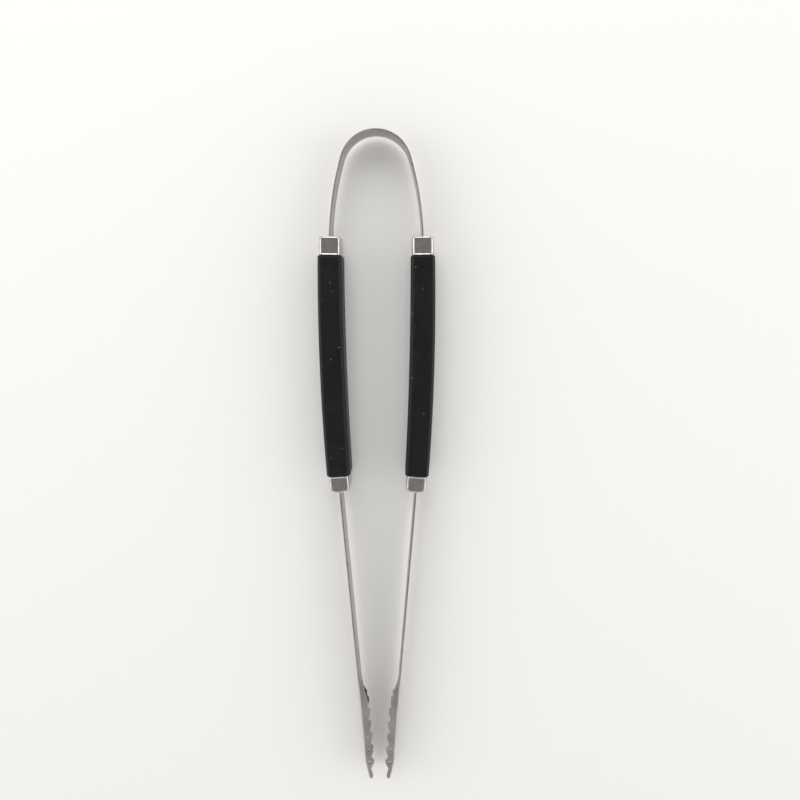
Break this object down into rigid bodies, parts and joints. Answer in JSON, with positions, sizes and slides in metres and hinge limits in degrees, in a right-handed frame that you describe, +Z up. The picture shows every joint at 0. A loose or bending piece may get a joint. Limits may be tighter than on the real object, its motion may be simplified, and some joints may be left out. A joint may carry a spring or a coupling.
{
  "type": "spring loaded kitchen tongs",
  "caption": "Long grill tongs: a U-shaped steel spring bow, black moulded grips between steel ferrules, and slim arms ending in scalloped channel jaws.",
  "frame": {"origin": "on the supporting surface under the middle of the tongs, between the arms", "axes": "+Y along the tongs towards the spring bow, +X across the closing direction towards the right arm, +Z up from the surface, across the strip"},
  "size_m": [0.0652, 0.3951, 0.018],
  "materials": {
    "spring_strip": "brushed stainless spring strip",
    "arm_strip": "brushed stainless strip",
    "ferrule": "polished drawn stainless",
    "grip": "black moulded polypropylene, fine texture",
    "rivet": "plain steel"
  },
  "bodies": {
    "bow": {"spring_bow": "spring_strip"},
    "left_arm": {"left_arm": "arm_strip", "left_grip_outer_shell": "grip", "left_grip_inner_shell": "grip", "left_upper_ferrule": "ferrule", "left_lower_ferrule": "ferrule", "left_upper_lap_rivet": "rivet", "left_lower_lap_rivet": "rivet"},
    "right_arm": {"right_arm": "arm_strip", "right_grip_outer_shell": "grip", "right_grip_inner_shell": "grip", "right_upper_ferrule": "ferrule", "right_lower_ferrule": "ferrule", "right_upper_lap_rivet": "rivet", "right_lower_lap_rivet": "rivet"}
  },
  "joints": [
    {"name": "left_flex", "type": "hinge", "parent": "bow", "child": "left_arm", "pos_m": [-0.0168, 0.1758, 0.009], "axis": [0, 0, -1], "range_deg": [-0.5, 5.5], "stiffness_Nm_per_rad": 9, "springref_deg": 5.5, "deforming": ["spring_bow"]},
    {"name": "right_flex", "type": "hinge", "parent": "bow", "child": "right_arm", "pos_m": [0.0168, 0.1758, 0.009], "axis": [0, 0, 1], "range_deg": [-0.5, 5.5], "stiffness_Nm_per_rad": 9, "springref_deg": 5.5, "deforming": ["spring_bow"]}
  ],
  "couplings": [
    {"joint": "right_flex", "follows": "left_flex", "ratio": 1}
  ]
}
